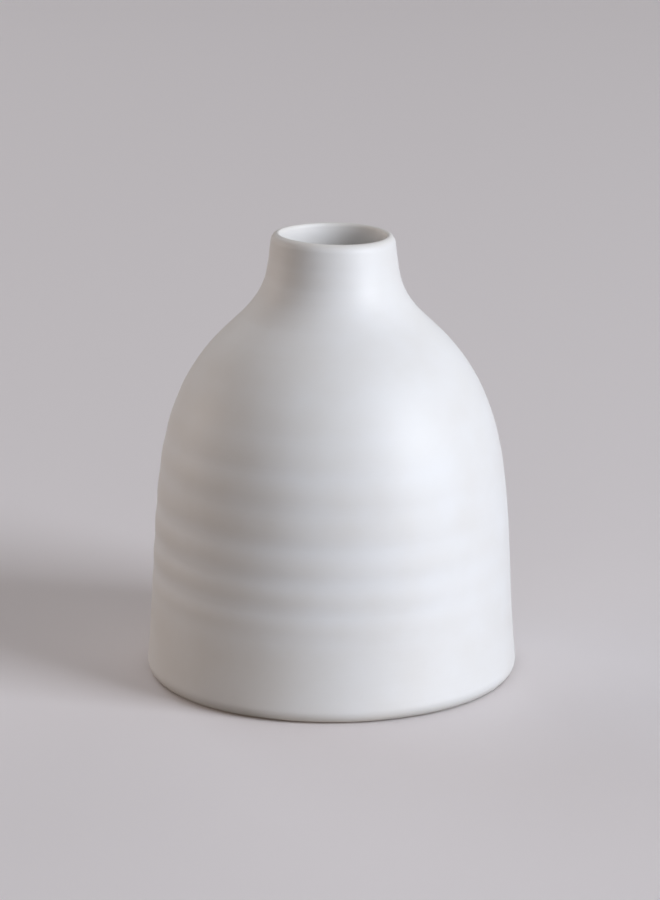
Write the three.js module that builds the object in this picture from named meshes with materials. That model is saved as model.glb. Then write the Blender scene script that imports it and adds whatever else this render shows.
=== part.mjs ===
// A wheel-thrown stoneware bud vase: a broad drum of a body under a domed shoulder, a short
// narrow neck and a thin rolled lip, glazed white outside and in, standing on a bare foot ring.
//
// Everything is round about +Z. The origin is the middle of the foot, on the surface that the
// vase stands on, and sizes are in millimetres. An outline is a list of (radius, height) points.

import * as THREE from 'three';

// ---- driving dimensions ----

const HEIGHT = 127;
const SIDES = 48; // facets round the vase

const FOOT_RADIUS = 52.9; // the widest place, just above the rounded foot edge
const SHOULDER_RADIUS = 49; // where the wall starts to lean in
const SHOULDER_HEIGHT = 59;
const NECK_ROOT_RADIUS = 25.5; // where the dome turns into the neck
const NECK_ROOT_HEIGHT = 104.2;
const LIP_RADIUS = 17.47; // outside, under the rolled edge
const LIP_CREST_RADIUS = 16.3; // the highest ring of the lip
const MOUTH_RADIUS = 15.4; // clear opening
const LIP_ROLL = 2; // how far the outer roll comes down
const LIP_INNER_ROLL = 0.9;

const GLAZE = 0.45; // thickness of a coat of glaze
const BASE_GLAZE = 0.35; // the thinner coat under the floor
const BOND_GAP = 0.02; // hairline between a coat and the clay, so that solids never share volume
const GLAZED_EDGE_ROUNDING = 4.1; // foot edge, over the glaze
const GLAZE_LINE_ANGLE = 48; // degrees below level, round the foot edge, where the glaze was wiped off

const WALL_AT_FOOT = 5.4; // clay and both coats together
const WALL_AT_NECK_ROOT = 4.4;
const FLOOR_HEIGHT = 7.5; // top of the inside floor
const FLOOR_FILLET = 9; // inside, where the floor turns up into the wall
const THROAT_GLAZE = 9; // how far the outer coat runs down inside the mouth
const SEAM = 0.3; // bare ring between the outer coat and the liner

const RING_INNER_RADIUS = 42;
const RING_INNER_BEVEL = 0.8;
const RING_DEPTH = 2; // how far the middle of the underside is trimmed up
const WIPED_BAND = 1.5; // clear of glaze round the inside of the foot ring

// ---- outlines ----

const at = (radius, height) => new THREE.Vector2(radius, height);

/** Points on an elliptic arc about a centre; angles are in degrees, 0 is outwards and 90 is up. */
function arc(centre, radiusOut, radiusUp, from, to, steps) {
  const points = [];
  for (let i = 0; i <= steps; i++) {
    const angle = THREE.MathUtils.degToRad(from + ((to - from) * i) / steps);
    points.push(at(centre.x + radiusOut * Math.cos(angle), centre.y + radiusUp * Math.sin(angle)));
  }
  return points;
}

/** Joins outlines end to end, leaving out a point that repeats the one before it. */
function join(...outlines) {
  return outlines.flat().filter((point, i, all) => i === 0 || point.distanceTo(all[i - 1]) > 1e-6);
}

/** Unit normal of an outline at each of its points, on the side away from the clay. */
function outwardNormals(outline) {
  return outline.map((point, i) => {
    const before = outline[Math.max(i - 1, 0)];
    const after = outline[Math.min(i + 1, outline.length - 1)];
    const arriving = point.clone().sub(before).normalize();
    const leaving = after.clone().sub(point).normalize();
    const along = arriving.add(leaving).normalize();
    return at(along.y, -along.x);
  });
}

/** The outline sunk into the clay by a depth, which may change from point to point. */
function sink(outline, depthOf) {
  const normals = outwardNormals(outline);
  return outline.map((point, i) => point.clone().addScaledVector(normals[i], -depthOf(point, i)));
}

/** Splits an outline that runs downwards at a height, leaving a gap between the two parts. */
function splitAt(outline, height, gap) {
  const i = outline.findIndex((point) => point.y < height);
  const onSegment = (y) => {
    const share = (outline[i - 1].y - y) / (outline[i - 1].y - outline[i].y);
    return outline[i - 1].clone().lerp(outline[i], share);
  };
  return [
    [...outline.slice(0, i), onSegment(height)],
    [onSegment(height - gap), ...outline.slice(i)],
  ];
}

// The glazed outside, from the glaze line at the foot up to the lip.
const clayEdgeRounding = GLAZED_EDGE_ROUNDING - GLAZE - BOND_GAP;
const edgeCentre = at(FOOT_RADIUS - GLAZED_EDGE_ROUNDING, clayEdgeRounding);
const glazedEdge = arc(edgeCentre, GLAZED_EDGE_ROUNDING, GLAZED_EDGE_ROUNDING, -GLAZE_LINE_ANGLE, 0, 3);

const wall = new THREE.CubicBezierCurve(
  at(FOOT_RADIUS, edgeCentre.y), // the wall draws in a little above the foot
  at(50.9, 22.5),
  at(51.25, 40),
  at(SHOULDER_RADIUS, SHOULDER_HEIGHT),
);
const shoulder = new THREE.CubicBezierCurve(
  at(SHOULDER_RADIUS, SHOULDER_HEIGHT),
  at(45.6, 87.8),
  at(32.3, 97.4),
  at(NECK_ROOT_RADIUS, NECK_ROOT_HEIGHT),
);
const neck = new THREE.CubicBezierCurve(
  at(NECK_ROOT_RADIUS, NECK_ROOT_HEIGHT),
  at(18.5, 111.3), // the hollow sweep from dome to neck
  at(18.5, 115.6),
  at(LIP_RADIUS, HEIGHT - LIP_ROLL),
);
const flank = join(wall.getPoints(4), shoulder.getPoints(7), neck.getPoints(6));

// The rolled lip: a soft outer shoulder and a tighter inner one.
const outerRoll = arc(
  at(LIP_CREST_RADIUS, HEIGHT - LIP_ROLL), LIP_RADIUS - LIP_CREST_RADIUS, LIP_ROLL, 0, 90, 3,
);
const innerRoll = arc(
  at(LIP_CREST_RADIUS, HEIGHT - LIP_INNER_ROLL),
  LIP_CREST_RADIUS - MOUTH_RADIUS, LIP_INNER_ROLL, 90, 180, 2,
);

// The glazed inside follows the flank, a wall's thickness in, then rounds into the floor.
const wallAt = (point) => {
  if (point.y < NECK_ROOT_HEIGHT) {
    return THREE.MathUtils.mapLinear(point.y, 0, NECK_ROOT_HEIGHT, WALL_AT_FOOT, WALL_AT_NECK_ROOT);
  }
  const lipWall = LIP_RADIUS - MOUTH_RADIUS;
  return THREE.MathUtils.mapLinear(
    point.y, NECK_ROOT_HEIGHT, HEIGHT - LIP_ROLL, WALL_AT_NECK_ROOT, lipWall,
  );
};
const filletTop = FLOOR_HEIGHT + FLOOR_FILLET;
const insideFlank = sink(flank, wallAt).reverse().filter((point) => point.y > filletTop + 1);
const insideFootRadius = FOOT_RADIUS - 1 - WALL_AT_FOOT; // the wall has drawn in 1 by this height
const floorFillet = arc(
  at(insideFootRadius - FLOOR_FILLET, filletTop), FLOOR_FILLET, FLOOR_FILLET, 0, -90, 4,
);
const insideSurface = join(insideFlank, floorFillet, [at(0, FLOOR_HEIGHT)]);

// One continuous glazed surface, parted inside the throat where the two glazes were poured.
const [throat, insideBelow] = splitAt(insideSurface, HEIGHT - THROAT_GLAZE, SEAM);
const outerPart = join(glazedEdge, flank, outerRoll, innerRoll, throat);
const glazed = join(outerPart, insideBelow);
const glazeBack = sink(glazed, () => GLAZE);
const claySkin = sink(glazed, () => GLAZE + BOND_GAP);
for (const outline of [glazeBack, claySkin]) {
  outline[outline.length - 1].x = 0; // the floor's middle stays on the axis
}

// The bare foot: a flat ring with a rounded outer edge and a bevelled inner one. The edge stops
// one step short of the glaze line, where the clay skin takes it up.
const bareEdge = arc(
  edgeCentre, clayEdgeRounding, clayEdgeRounding, -90, -GLAZE_LINE_ANGLE, 3,
).slice(0, -1);
const foot = [
  at(0, RING_DEPTH),
  at(RING_INNER_RADIUS - RING_INNER_BEVEL, RING_DEPTH),
  at(RING_INNER_RADIUS, RING_INNER_BEVEL),
  at(RING_INNER_RADIUS + RING_INNER_BEVEL, 0),
];

// ---- solids ----

/** A named solid turned about +Z from an outline that runs anticlockwise round the material. */
function turned(name, outline, color, roughness) {
  const geometry = new THREE.LatheGeometry(outline, SIDES);
  geometry.rotateX(Math.PI / 2); // a lathe turns about +Y
  const material = new THREE.MeshStandardMaterial({ color, roughness, metalness: 0 });
  const mesh = new THREE.Mesh(geometry, material);
  mesh.name = name;
  return mesh;
}

/** The fired clay: foot ring, wall, neck and floor in one thrown piece. */
function stonewareBody() {
  return turned('stoneware_body', join(foot, bareEdge, claySkin), '#b9a48c', 0.9);
}

/** The white coat over the outside, from the glaze line over the lip and into the throat. */
function outerGlaze() {
  const count = outerPart.length;
  const outline = [...glazed.slice(0, count), ...glazeBack.slice(0, count).reverse()];
  return turned('outer_glaze', [...outline, outline[0]], '#e6e4e1', 0.45);
}

/** The white coat that makes the inside hold water, poured in and swirled round. */
function linerGlaze() {
  const start = outerPart.length;
  const outline = [...glazeBack.slice(start).reverse(), ...glazed.slice(start)];
  return turned('liner_glaze', outline, '#e9e8e4', 0.3);
}

/** The thin disc of glaze in the hollow of the underside, inside the foot ring. */
function baseGlaze() {
  const radius = RING_INNER_RADIUS - RING_INNER_BEVEL - WIPED_BAND;
  const top = RING_DEPTH - BOND_GAP;
  const outline = [at(0, top - BASE_GLAZE), at(radius, top - BASE_GLAZE), at(radius, top), at(0, top)];
  return turned('base_glaze', outline, '#dedbd5', 0.4);
}

const vase = new THREE.Group();
vase.add(stonewareBody(), outerGlaze(), linerGlaze(), baseGlaze());

export default vase;
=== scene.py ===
"""A wheel-thrown stoneware bud vase, glazed satin white, standing on its bare foot ring.

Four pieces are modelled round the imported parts: the thrown clay, the coat of glaze outside, the
glaze poured inside and the disc of glaze in the hollow of the foot. An outline is a list of
(radius, height) points in millimetres, turned about +Z; meshes are in metres.
"""
import math

import bmesh
import bpy
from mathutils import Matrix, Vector, noise
from mathutils.geometry import interpolate_bezier


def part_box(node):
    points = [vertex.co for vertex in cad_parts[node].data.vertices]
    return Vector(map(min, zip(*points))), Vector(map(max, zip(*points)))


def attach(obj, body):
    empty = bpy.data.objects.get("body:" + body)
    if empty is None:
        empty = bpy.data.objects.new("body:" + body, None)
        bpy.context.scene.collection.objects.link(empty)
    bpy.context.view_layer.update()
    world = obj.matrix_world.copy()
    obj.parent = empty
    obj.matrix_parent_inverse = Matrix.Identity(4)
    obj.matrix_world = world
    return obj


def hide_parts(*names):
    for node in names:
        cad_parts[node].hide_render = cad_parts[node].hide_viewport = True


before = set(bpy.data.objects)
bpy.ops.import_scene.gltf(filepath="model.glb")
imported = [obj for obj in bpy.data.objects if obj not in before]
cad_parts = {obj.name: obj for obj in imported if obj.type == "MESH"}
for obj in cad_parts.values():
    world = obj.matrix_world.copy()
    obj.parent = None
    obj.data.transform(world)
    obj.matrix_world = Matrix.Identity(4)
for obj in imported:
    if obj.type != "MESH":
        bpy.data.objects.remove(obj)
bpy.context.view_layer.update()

MM = 0.001

# ---- sizes in millimetres, from the frame and from how the vase was thrown ----

COAT_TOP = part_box("outer_glaze")[1] / MM
LINER_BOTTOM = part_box("liner_glaze")[0] / MM
BASE_BOTTOM, BASE_TOP = (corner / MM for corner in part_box("base_glaze"))

HEIGHT = COAT_TOP.z
FOOT_RADIUS = COAT_TOP.x  # the widest place, over the glaze
SHOULDER_RADIUS = 49  # where the wall starts to lean in
SHOULDER_HEIGHT = 59
NECK_ROOT_RADIUS = 25.5  # where the dome turns into the neck
NECK_ROOT_HEIGHT = 104.2
LIP_RADIUS = 17.6  # outside, under the rolled edge
LIP_CREST_RADIUS = 15.65  # the highest ring of the lip
MOUTH_RADIUS = 14.9  # clear opening
LIP_ROLL = 2.8  # how far the outer roll comes down
LIP_INNER_ROLL = 1.1

GLAZE = 0.45  # thickness of a coat
BOND_GAP = 0.02  # between a coat and the clay
COATED_EDGE_ROUNDING = 4.1  # of the foot edge
CLAY_EDGE_ROUNDING = COATED_EDGE_ROUNDING - GLAZE - BOND_GAP
GLAZE_LINE = 48  # degrees below level, round the foot edge, where the glaze was wiped off

WALL_AT_FOOT = 5.4  # clay and both coats together
WALL_AT_NECK_ROOT = 4.4
FLOOR_HEIGHT = LINER_BOTTOM.z + GLAZE  # top of the inside floor
FLOOR_FILLET = 9  # inside, where the floor turns up into the wall
WALL_DRAWN_IN = 1  # the wall has drawn in this much by the height of the fillet
THROAT_COAT = 9  # how far the outer coat runs down inside the mouth, to the seam with the liner
SEAM = 0.05
FILLET_CLEAR = 1  # no point of the wall inside comes nearer to the fillet than this
SEAM_CLEAR = 0.1  # or to the seam

RING_INNER_RADIUS = 42
RING_INNER_BEVEL = 0.8
RING_DEPTH = BASE_TOP.z + BOND_GAP  # how far the middle of the underside is trimmed up
TURNING_LINE = 1  # pitch of the fine lines that trimming left on the foot ring
TURNING_LINE_DEPTH = 0.05
TURNING_LINE_POINTS = 6  # along the outline of each line

TURNS = 144  # steps round the vase
SKIN_STEP = 0.75  # along an outline that shows
HIDDEN_EVERY = 2  # a hidden surface keeps every second point

# Height and depth of each hollow that the potter's fingers left as the wall was drawn up.
BODY_HOLLOWS = (
    (22.8, 0.08), (30.5, 0.21), (39.1, 0.22), (48.6, 0.19),
    (59.0, 0.12), (68.4, 0.13), (78.3, 0.07), (88.5, 0.04),
)
NECK_HOLLOWS = ((99.5, 0.02), (103.6, 0.03), (108.6, 0.03), (114.2, 0.05), (119.3, 0.05))
INSIDE_HOLLOW_DEPTH = 0.3
INSIDE_HOLLOWS = tuple((height, INSIDE_HOLLOW_DEPTH) for height in range(20, 92, 9))
BODY_HOLLOW_REACH = 2.8
NECK_HOLLOW_REACH = 1.5
HOLLOW_SLANT = 0.018  # they run a little downhill towards +X
HOLLOW_DEEPEST = math.radians(-140)  # and were pressed deepest at the front left
HOLLOW_LEAST = 0.25  # share of their depth on the far side from there
HOLLOW_MORE = 1.2  # what is added to that share where they are deepest
FLOOR_SPIRAL = 7  # pitch of the finger spiral on the floor inside
FLOOR_SPIRAL_DEPTH = 0.25
TRIMMED_SPIRAL = 3.2  # pitch of the tool's spiral in the hollow of the foot
TRIMMED_SPIRAL_DEPTH = 0.1

SPIRAL_MIDDLE = (1, 6)  # radii between which a spiral rises out of the flat middle
SPIRAL_RIM = 8  # width of the band where it fades out again

NECK_SHIFT = 0.43  # the neck stands this far to +X of the foot's middle
NECK_SHIFT_RISE = (103, 118)  # heights between which it leans over
LIP_SLOPE = 0.021  # and the lip dips on that side
LIP_TWIST = 0.00085  # per millimetre: it dips more at the front than at the back
LIP_SLOPE_RISE = (104, 124)
OVAL = 0.1  # out of round, longest at 45 degrees to the front
OVAL_FADE = (60, 100)
WOBBLE = 0.12  # the hand's unevenness
WOBBLE_HEIGHT = 35
WOBBLE_START = (5, 20)  # radii between which it sets in, so that the middle stays put
GLAZE_LINE_WAVER = 3  # degrees
GLAZE_LINE_WAVES = ((0.6, 3, 1), (0.4, 7, 2))  # share, waves round the foot, where they start
WAVER_START = 15  # degrees below level

THIN_AT_LIP = 1.8  # the coat thins towards the lip over this height
THIN_AT_FOOT = (0.5, 3)  # and towards the foot between these heights
POOL_PER_DEPTH = 2  # what a millimetre of hollow adds to the pool

# Which marks a stretch of outline takes.
PLAIN, OUTSIDE, INSIDE, FLOOR, RECESS = range(5)


# ---- outlines ----

def at(radius, height):
    return Vector((radius, height))


def arc(centre, radius_out, radius_up, start, end, steps):
    """Points on an elliptic arc; angles in degrees, 0 is outwards and 90 is up."""
    angles = [math.radians(start + (end - start) * i / steps) for i in range(steps + 1)]
    return [centre + at(radius_out * math.cos(a), radius_up * math.sin(a)) for a in angles]


def sweep(start, leaving, arriving, end):
    """Points about SKIN_STEP apart along a cubic curve."""
    steps = round((end - start).length / SKIN_STEP)
    return interpolate_bezier(start, leaving, arriving, end, steps + 1)


def join(*outlines):
    """Joins outlines end to end, without the point that two of them share."""
    joined = []
    for outline in outlines:
        for point in outline:
            if not joined or (point - joined[-1]).length > 1e-4:
                joined.append(point)
    return joined


def coarse(outline):
    """The outline with the points that a hidden surface needs."""
    return outline[:-1:HIDDEN_EVERY] + outline[-1:]


def sink(outline, depth_at):
    """The outline moved into the clay by a depth, which may change from point to point."""
    sunk = []
    for i, point in enumerate(outline):
        before = outline[max(i - 1, 0)]
        after = outline[min(i + 1, len(outline) - 1)]
        along = (after - before).normalized()
        sunk.append(point - at(along.y, -along.x) * depth_at(point))
    return sunk


def part_way(value, start, end):
    return min(max((value - start) / (end - start), 0), 1)


def ease(value, start, end):
    """Rises smoothly from 0 at start to 1 at end, and stays level outside them."""
    share = part_way(value, start, end)
    return share * share * (3 - 2 * share)


def wall_at(point):
    """Thickness of clay and glaze together, at a point of the glazed outside."""
    if point.y < NECK_ROOT_HEIGHT:
        share = part_way(point.y, 0, NECK_ROOT_HEIGHT)
        return WALL_AT_FOOT + (WALL_AT_NECK_ROOT - WALL_AT_FOOT) * share
    share = part_way(point.y, NECK_ROOT_HEIGHT, HEIGHT - LIP_ROLL)
    return WALL_AT_NECK_ROOT + (LIP_RADIUS - MOUTH_RADIUS - WALL_AT_NECK_ROOT) * share


EDGE_CENTRE = at(FOOT_RADIUS - COATED_EDGE_ROUNDING, CLAY_EDGE_ROUNDING)
SHOULDER = at(SHOULDER_RADIUS, SHOULDER_HEIGHT)
NECK_ROOT = at(NECK_ROOT_RADIUS, NECK_ROOT_HEIGHT)

COATED_EDGE = arc(EDGE_CENTRE, COATED_EDGE_ROUNDING, COATED_EDGE_ROUNDING, -GLAZE_LINE, 0, 6)
WALL = sweep(at(FOOT_RADIUS, EDGE_CENTRE.y), at(51.0, 22.5), at(51.4, 40), SHOULDER)
DOME = sweep(SHOULDER, at(45.6, 87.8), at(32.3, 97.4), NECK_ROOT)
NECK = sweep(NECK_ROOT, at(18.75, 111.3), at(18.75, 115.6), at(LIP_RADIUS, HEIGHT - LIP_ROLL))
OUTER_ROLL = arc(
    at(LIP_CREST_RADIUS, HEIGHT - LIP_ROLL), LIP_RADIUS - LIP_CREST_RADIUS, LIP_ROLL, 0, 90, 8,
)
INNER_ROLL = arc(
    at(LIP_CREST_RADIUS, HEIGHT - LIP_INNER_ROLL),
    LIP_CREST_RADIUS - MOUTH_RADIUS, LIP_INNER_ROLL, 90, 180, 5,
)

FILLET_TOP = FLOOR_HEIGHT + FLOOR_FILLET
FILLET_RADIUS = FOOT_RADIUS - WALL_DRAWN_IN - WALL_AT_FOOT - FLOOR_FILLET
INSIDE_WALL = list(reversed(sink(join(WALL, DOME, NECK), wall_at)))
THROAT = [point for point in INSIDE_WALL if point.y > HEIGHT - THROAT_COAT]
LINER_TOP = THROAT[-1] - at(0, SEAM)
BELLY_BOTTOM = FILLET_TOP + FILLET_CLEAR
BELLY_TOP = LINER_TOP.y - SEAM_CLEAR
BELLY = [point for point in INSIDE_WALL if BELLY_BOTTOM < point.y < BELLY_TOP]
FLOOR_EDGE = arc(at(FILLET_RADIUS, FILLET_TOP), FLOOR_FILLET, FLOOR_FILLET, 0, -90, 14)
FLOOR_FLAT = [at(radius, FLOOR_HEIGHT) for radius in range(math.floor(FILLET_RADIUS), -1, -1)]

COAT_SKIN = join(COATED_EDGE, WALL, DOME, NECK, OUTER_ROLL, INNER_ROLL, THROAT)
LINER_SKIN = join([LINER_TOP], BELLY, FLOOR_EDGE)


# ---- the marks of throwing and trimming ----

def hollow_depth(height, hollows, reach):
    return sum(depth * math.exp(-(((height - middle) / reach) ** 2)) for middle, depth in hollows)


def outside_depth(radius, angle, height):
    """How far the finger hollows sink the outside of the wall."""
    level = height + HOLLOW_SLANT * radius * math.cos(angle)
    body = hollow_depth(level, BODY_HOLLOWS, BODY_HOLLOW_REACH)
    neck = hollow_depth(level, NECK_HOLLOWS, NECK_HOLLOW_REACH)
    press = (1 + math.cos(angle - HOLLOW_DEEPEST)) / 2
    return (HOLLOW_LEAST + HOLLOW_MORE * press**3) * (body + neck)


def spiral(radius, angle, pitch, outer_radius):
    """A spiral ridge that fades out at its middle and its rim."""
    ridge = math.sin(angle - math.tau * radius / pitch)
    rim = ease(radius, outer_radius - SPIRAL_RIM, outer_radius)
    return ridge * ease(radius, *SPIRAL_MIDDLE) * (1 - rim)


def uneven(radius, angle, height):
    """Radial wobble of the whole wall: the oval and the hand's own."""
    oval = OVAL * math.sin(2 * angle) * (1 - ease(height, *OVAL_FADE))
    around = Vector((math.cos(angle), math.sin(angle), height / WOBBLE_HEIGHT))
    return (oval + WOBBLE * noise.noise(around)) * ease(radius, *WOBBLE_START)


def waver(radius, angle, height):
    """Slides the lower edge of the coat to and fro round the foot edge."""
    spoke = at(radius, height) - EDGE_CENTRE
    below = math.degrees(-math.atan2(spoke.y, spoke.x))
    wave = sum(share * math.sin(count * angle + start) for share, count, start in GLAZE_LINE_WAVES)
    slide = math.radians(GLAZE_LINE_WAVER * wave * ease(below, WAVER_START, GLAZE_LINE))
    return EDGE_CENTRE + at(
        spoke.x * math.cos(slide) - spoke.y * math.sin(slide),
        spoke.x * math.sin(slide) + spoke.y * math.cos(slide),
    )


def give_marks(mesh, marks, is_coat):
    """Moves a turned mesh's points as the hand moved the clay, and notes how the glaze lay."""
    pool = mesh.verts.layers.float.new("glaze_pool")
    for vert in mesh.verts:
        x, y, height = vert.co / MM
        radius = math.hypot(x, y)
        angle = math.atan2(y, x)
        sunk = 0
        if vert[marks] == OUTSIDE:
            if is_coat and height < EDGE_CENTRE.y:
                radius, height = waver(radius, angle, height)
            sunk = outside_depth(radius, angle, height)
            radius -= sunk
        elif vert[marks] == INSIDE:
            sunk = hollow_depth(height, INSIDE_HOLLOWS, BODY_HOLLOW_REACH)
            radius += sunk
        elif vert[marks] == FLOOR:
            sunk = FLOOR_SPIRAL_DEPTH * spiral(radius, angle, FLOOR_SPIRAL, FILLET_RADIUS)
            height -= sunk
        elif vert[marks] == RECESS:
            sunk = TRIMMED_SPIRAL_DEPTH * spiral(radius, angle, TRIMMED_SPIRAL, RING_INNER_RADIUS)
            height += sunk
        radius += uneven(radius, angle, height)
        thin = max(ease(height, HEIGHT - THIN_AT_LIP, HEIGHT), 1 - ease(height, *THIN_AT_FOOT))
        vert[pool] = (1 - thin) / 2 + POOL_PER_DEPTH * sunk
        x = radius * math.cos(angle)
        y = radius * math.sin(angle)
        height -= x * (LIP_SLOPE - LIP_TWIST * y) * ease(height, *LIP_SLOPE_RISE)
        x += NECK_SHIFT * ease(height, *NECK_SHIFT_RISE)
        vert.co = Vector((x, y, height)) * MM


def throw(name, stretches, material, is_coat=False):
    """A solid turned from stretches of outline, each a list of points with the marks it takes."""
    mesh = bmesh.new()
    marks = mesh.verts.layers.int.new("marks")
    rim = []
    for points, kind in stretches:
        for point in points:
            vert = mesh.verts.new((point.x * MM, 0, point.y * MM))
            vert[marks] = kind
            rim.append(vert)
    edges = [mesh.edges.new(pair) for pair in zip(rim, rim[1:])]
    if rim[0].co.x > 0:
        edges.append(mesh.edges.new((rim[-1], rim[0])))
    bmesh.ops.spin(
        mesh, geom=rim + edges, cent=(0, 0, 0), axis=(0, 0, 1), angle=math.tau,
        steps=TURNS, use_merge=True, use_duplicate=False,
    )
    bmesh.ops.remove_doubles(mesh, verts=mesh.verts, dist=1e-7)
    bmesh.ops.recalc_face_normals(mesh, faces=mesh.faces)
    give_marks(mesh, marks, is_coat)
    for face in mesh.faces:
        face.smooth = True
    data = bpy.data.meshes.new(name)
    mesh.to_mesh(data)
    mesh.free()
    data.materials.append(material)
    piece = bpy.data.objects.new(name, data)
    bpy.context.scene.collection.objects.link(piece)
    return piece


# ---- pieces ----

def end_roll(first, last):
    """The rounded end of a coat: half a turn, anticlockwise, from one face to the other."""
    centre = (first + last) / 2
    spoke = first - centre
    start = math.degrees(math.atan2(spoke.y, spoke.x))
    return arc(centre, spoke.length, spoke.length, start, start + 180, 6)


def trimmed_ring():
    """Outline of the bare foot ring: its bevel, and the tread with the tool's fine lines."""
    inner = RING_INNER_RADIUS + RING_INNER_BEVEL
    tread = EDGE_CENTRE.x - inner
    steps = round(tread / TURNING_LINE) * TURNING_LINE_POINTS
    ring = [at(RING_INNER_RADIUS, RING_INNER_BEVEL)]
    for i in range(steps + 1):
        groove = (1 - math.cos(math.tau * i / TURNING_LINE_POINTS)) / 2
        ring.append(at(inner + tread * i / steps, groove * TURNING_LINE_DEPTH))
    bare_edge = arc(EDGE_CENTRE, CLAY_EDGE_ROUNDING, CLAY_EDGE_ROUNDING, -90, -GLAZE_LINE, 6)
    return ring + bare_edge[1:-1]


def thrown_body(clay):
    """The fired clay: trimmed foot ring, wall, neck, lip and inside floor."""
    recess_radius = RING_INNER_RADIUS - RING_INNER_BEVEL
    recess = [at(radius, RING_DEPTH) for radius in range(math.ceil(recess_radius))]
    floor = [point - at(0, GLAZE + BOND_GAP) for point in FLOOR_FLAT]
    stretches = [
        (recess + [at(recess_radius, RING_DEPTH)], RECESS),
        (trimmed_ring(), PLAIN),
        (sink(coarse(COAT_SKIN), lambda point: GLAZE + BOND_GAP), OUTSIDE),
        (sink(coarse(LINER_SKIN), lambda point: GLAZE + BOND_GAP), INSIDE),
        (floor, FLOOR),
    ]
    piece = throw("thrown_stoneware_body", stretches, clay)
    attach(piece, "root")
    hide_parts("stoneware_body")


def dipped_coat(glaze):
    """The coat outside, from its wiped edge at the foot, over the lip and into the throat."""
    back = sink(coarse(COAT_SKIN), lambda point: GLAZE)
    wiped_edge = end_roll(back[0], COAT_SKIN[0])
    throat_edge = end_roll(COAT_SKIN[-1], back[-1])
    outline = join(wiped_edge, COAT_SKIN, throat_edge, reversed(back))
    piece = throw("dipped_outer_coat", [(outline[:-1], OUTSIDE)], glaze, is_coat=True)
    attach(piece, "root")
    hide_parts("outer_glaze")


def poured_liner(glaze):
    """The coat poured inside and swirled round, from the throat down across the floor."""
    back = sink(coarse(LINER_SKIN), lambda point: GLAZE)
    floor_back = [point - at(0, GLAZE) for point in FLOOR_FLAT]
    stretches = [
        (list(reversed(floor_back)), FLOOR),
        (list(reversed(back)), INSIDE),
        (LINER_SKIN, INSIDE),
        (FLOOR_FLAT, FLOOR),
    ]
    piece = throw("poured_liner", stretches, glaze)
    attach(piece, "root")
    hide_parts("liner_glaze")


def base_disc(glaze):
    """The disc of glaze in the hollow of the foot, rounded at its rim."""
    bead = (BASE_TOP.z - BASE_BOTTOM.z) / 2
    rim = arc(at(BASE_TOP.x - bead, BASE_TOP.z - bead), bead, bead, -90, 90, 6)
    under = [at(radius, BASE_BOTTOM.z) for radius in range(math.floor(BASE_TOP.x))]
    over = [at(point.x, BASE_TOP.z) for point in reversed(under)]
    piece = throw("base_glaze_disc", [(join(under, rim, over), RECESS)], glaze)
    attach(piece, "root")
    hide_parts("base_glaze")


# ---- finishes ----

CLOUD = 14  # a glaze's thickness drifts over about this far
NOISE_LOW, NOISE_HIGH = 0.3, 0.7  # most of a noise texture lies between these
DRIFT = 0.15  # what the clouds add to the pool or take from it
LINE_PITCH = 1.7  # fine throwing lines, one above the other
LINE_LENGTH = 60
LINE_DEPTH = 0.028
ORANGE_PEEL = 0.9
PEEL_DEPTH = 0.003
CLAY_MOTTLE = 6
GROG = 1.4  # from one grain to the next
GRAIN_CORE, GRAIN_RIM = 0.12, 0.2  # a grain fades out between these shares of the pitch
GRAIN_STRENGTH = 0.75
IRON_ABOVE = 0.6  # a grain is iron where its own random shade is above this
GRIT = 0.4
GRIT_DEPTH = 0.05


def srgb(hex_colour):
    """An sRGB hex colour as the linear colour that a shader takes."""
    channels = [int(hex_colour[i:i + 2], 16) / 255 for i in (1, 3, 5)]
    return [c / 12.92 if c <= 0.04045 else ((c + 0.055) / 1.055) ** 2.4 for c in channels] + [1]


def add_node(tree, kind, inputs=None, **settings):
    """Adds a node with its settings; an input is a value, or the output that it is linked to."""
    node = tree.nodes.new(kind)
    for name, value in settings.items():
        setattr(node, name, value)
    for socket, value in (inputs or {}).items():
        if isinstance(value, bpy.types.NodeSocket):
            tree.links.new(value, node.inputs[socket])
        else:
            node.inputs[socket].default_value = value
    return node


def new_material(name):
    material = bpy.data.materials.new(name)
    material.use_nodes = True
    material.node_tree.nodes.clear()
    return material, material.node_tree


def every(size):
    """Scale of a texture whose pattern repeats about every so many millimetres."""
    return 1 / (size * MM)


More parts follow.
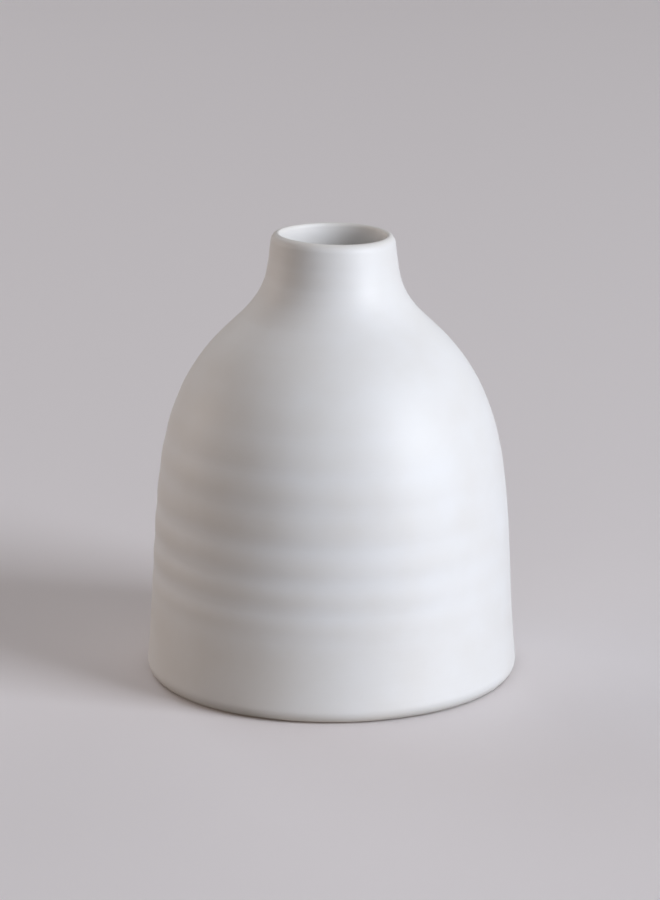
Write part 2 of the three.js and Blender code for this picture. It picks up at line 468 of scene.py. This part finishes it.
def white_glaze(name, thin, thick, glossy, matte):
    """An opaque white glaze, whitest where it pooled in the finger hollows.

    It lets a little of the warm clay through where it ran thin, on the lip and the foot edge.
    Its thickness and gloss drift in clouds, and its skin has fine lines from the throwing and a
    faint orange peel from the fire.
    """
    material, tree = new_material(name)
    place = add_node(tree, "ShaderNodeTexCoord").outputs["Object"]
    pooled = add_node(tree, "ShaderNodeAttribute", attribute_name="glaze_pool").outputs["Fac"]
    clouds = add_node(tree, "ShaderNodeTexNoise", {
        "Vector": place, "Scale": every(CLOUD), "Detail": 3, "Roughness": 0.5,
    }).outputs["Fac"]
    drift = add_node(tree, "ShaderNodeMapRange", {
        "Value": clouds, "From Min": NOISE_LOW, "From Max": NOISE_HIGH,
        "To Min": -DRIFT, "To Max": DRIFT,
    }).outputs["Result"]
    depth = add_node(tree, "ShaderNodeMath", {0: pooled, 1: drift}, use_clamp=True).outputs[0]
    colour = add_node(tree, "ShaderNodeMix", {
        0: depth, 6: srgb(thin), 7: srgb(thick),
    }, data_type="RGBA").outputs[2]
    roughness = add_node(tree, "ShaderNodeMapRange", {
        "Value": clouds, "From Min": NOISE_LOW, "From Max": NOISE_HIGH,
        "To Min": glossy, "To Max": matte,
    }).outputs["Result"]
    along_lines = add_node(tree, "ShaderNodeMapping", {
        "Vector": place,
        "Rotation": (0, HOLLOW_SLANT, 0),
        "Scale": (every(LINE_LENGTH), every(LINE_LENGTH), every(LINE_PITCH)),
    }).outputs["Vector"]
    lines = add_node(tree, "ShaderNodeTexNoise", {
        "Vector": along_lines, "Scale": 1, "Detail": 2, "Roughness": 0.5,
    }).outputs["Fac"]
    peel = add_node(tree, "ShaderNodeTexNoise", {
        "Vector": place, "Scale": every(ORANGE_PEEL), "Detail": 1,
    }).outputs["Fac"]
    lined = add_node(tree, "ShaderNodeBump", {
        "Strength": 1, "Distance": LINE_DEPTH * MM, "Height": lines,
    }).outputs["Normal"]
    bumped = add_node(tree, "ShaderNodeBump", {
        "Strength": 1, "Distance": PEEL_DEPTH * MM, "Height": peel, "Normal": lined,
    }).outputs["Normal"]
    shader = add_node(tree, "ShaderNodeBsdfPrincipled", {
        "Base Color": colour, "Roughness": roughness, "IOR": 1.5, "Normal": bumped,
    })
    add_node(tree, "ShaderNodeOutputMaterial", {"Surface": shader.outputs["BSDF"]})
    return material


def satin_white_glaze():
    """Stoneware glaze fired to a satin: soft, broad lights and no mirror."""
    return white_glaze("satin_white_stoneware_glaze", "#e8e2db", "#f2f0ef", 0.45, 0.53)


def poured_white_glaze():
    """The same glaze poured thicker, so that it melted a little glossier."""
    return white_glaze("poured_white_liner_glaze", "#e8e4dc", "#f2f1ef", 0.3, 0.38)


def bare_buff_stoneware():
    """Unglazed stoneware, trimmed and sponged: dry buff clay with grog and iron specks."""
    material, tree = new_material("bare_buff_stoneware")
    place = add_node(tree, "ShaderNodeTexCoord").outputs["Object"]
    mottle = add_node(tree, "ShaderNodeTexNoise", {
        "Vector": place, "Scale": every(CLAY_MOTTLE), "Detail": 4, "Roughness": 0.6,
    }).outputs["Fac"]
    clay = add_node(tree, "ShaderNodeMix", {
        0: mottle, 6: srgb("#b6a288"), 7: srgb("#cdbca4"),
    }, data_type="RGBA").outputs[2]
    grains = add_node(tree, "ShaderNodeTexVoronoi", {"Vector": place, "Scale": every(GROG)})
    grain = add_node(tree, "ShaderNodeMapRange", {
        "Value": grains.outputs["Distance"],
        "From Min": GRAIN_CORE, "From Max": GRAIN_RIM, "To Min": GRAIN_STRENGTH, "To Max": 0,
    }).outputs["Result"]
    is_iron = add_node(tree, "ShaderNodeMath", {
        0: grains.outputs["Color"], 1: IRON_ABOVE,
    }, operation="GREATER_THAN").outputs[0]
    iron = add_node(tree, "ShaderNodeMath", {0: grain, 1: is_iron}, operation="MULTIPLY").outputs[0]
    colour = add_node(tree, "ShaderNodeMix", {
        0: iron, 6: clay, 7: srgb("#6b5444"),
    }, data_type="RGBA").outputs[2]
    grit = add_node(tree, "ShaderNodeTexNoise", {
        "Vector": place, "Scale": every(GRIT), "Detail": 3, "Roughness": 0.7,
    }).outputs["Fac"]
    bumped = add_node(tree, "ShaderNodeBump", {
        "Strength": 1, "Distance": GRIT_DEPTH * MM, "Height": grit,
    }).outputs["Normal"]
    shader = add_node(tree, "ShaderNodeBsdfPrincipled", {
        "Base Color": colour, "Roughness": 0.88, "IOR": 1.5, "Normal": bumped,
    })
    add_node(tree, "ShaderNodeOutputMaterial", {"Surface": shader.outputs["BSDF"]})
    return material


# ---- studio, in metres and watts ----

CAMERA_PLACE = (-0.00048, -0.98889, 0.32652)
CAMERA_DIP = 14.85  # degrees below level
LENS = 144  # millimetres, as is the sensor
SENSOR = 36
FLOOR_REACH = 6  # from the vase to each edge of the floor
ROOM_LIGHT = 0.1


def camera():
    data = bpy.data.cameras.new("camera")
    data.lens = LENS
    data.sensor_width = SENSOR
    eye = bpy.data.objects.new("camera", data)
    eye.location = CAMERA_PLACE
    eye.rotation_euler = (math.radians(90 - CAMERA_DIP), 0, 0)
    bpy.context.scene.collection.objects.link(eye)
    bpy.context.scene.camera = eye


def pale_floor():
    """A wide, plain painted floor."""
    mesh = bmesh.new()
    bmesh.ops.create_grid(mesh, x_segments=1, y_segments=1, size=FLOOR_REACH)
    data = bpy.data.meshes.new("pale_floor")
    mesh.to_mesh(data)
    mesh.free()
    material, tree = new_material("pale_painted_floor")
    shader = add_node(tree, "ShaderNodeBsdfPrincipled", {
        "Base Color": srgb("#f1e9e7"), "Roughness": 0.8,
    })
    add_node(tree, "ShaderNodeOutputMaterial", {"Surface": shader.outputs["BSDF"]})
    data.materials.append(material)
    floor = bpy.data.objects.new("pale_floor", data)
    bpy.context.scene.collection.objects.link(floor)
    floor.visible_diffuse = False  # it takes the shadow and throws no light back


def area_light(name, place, away, width, height, power, colour):
    """A soft rectangular light that the camera doesn't see; it shines against the way given."""
    data = bpy.data.lights.new(name, "AREA")
    data.shape = "RECTANGLE"
    data.size = width
    data.size_y = height
    data.energy = power
    data.color = srgb(colour)[:3]
    light = bpy.data.objects.new(name, data)
    light.location = place
    light.rotation_euler = away.to_track_quat("Z", "Y").to_euler()
    light.visible_camera = False
    bpy.context.scene.collection.objects.link(light)


def softbox(name, azimuth, elevation, distance, width, height, power, colour):
    """A light that faces the vase; azimuth 0 is the camera's side and 90 is +X."""
    turn = math.radians(azimuth)
    rise = math.radians(elevation)
    away = Vector((
        math.sin(turn) * math.cos(rise), -math.cos(turn) * math.cos(rise), math.sin(rise),
    ))
    place = away * distance + Vector((0, 0, HEIGHT / 2 * MM))
    area_light(name, place, away, width, height, power, colour)


def studio():
    """A cool window from the front right, a warm fill on the left and weak light all round.

    The floor gives the vase no light itself; a small glow close in front of the foot does.
    """
    softbox("window", 60, 18.5, 2.6, 1.3, 1.7, 74, "#ebf3ff")
    softbox("ceiling", 0, 89, 2.4, 3.0, 3.0, 6, "#f3f8ff")
    softbox("left_fill", -100, 10, 2.6, 2.2, 1.4, 21, "#fff2ea")
    softbox("left_back_fill", -145, 35, 2.6, 1.4, 1.4, 11, "#e9f3ff")
    softbox("back_fill", 150, 20, 2.6, 1.6, 1.6, 6.5, "#f3f8ff")
    softbox("front_fill", 0, 20, 2.6, 1.4, 1.4, 6, "#e9f3ff")
    before_the_foot = Vector((0.02, -0.095, 0.0005))
    downwards = Vector((0, 0, -1))
    area_light("floor_glow", before_the_foot, downwards, 0.3, 0.09, 0.01, "#fff4ee")
    world = bpy.data.worlds.new("room")
    world.use_nodes = True
    background = world.node_tree.nodes["Background"]
    background.inputs["Color"].default_value = srgb("#fff0e5")
    background.inputs["Strength"].default_value = ROOM_LIGHT
    bpy.context.scene.world = world
    bpy.context.scene.view_settings.view_transform = "Standard"


camera()
pale_floor()
studio()
outside_glaze = satin_white_glaze()
thrown_body(bare_buff_stoneware())
dipped_coat(outside_glaze)
poured_liner(poured_white_glaze())
base_disc(outside_glaze)
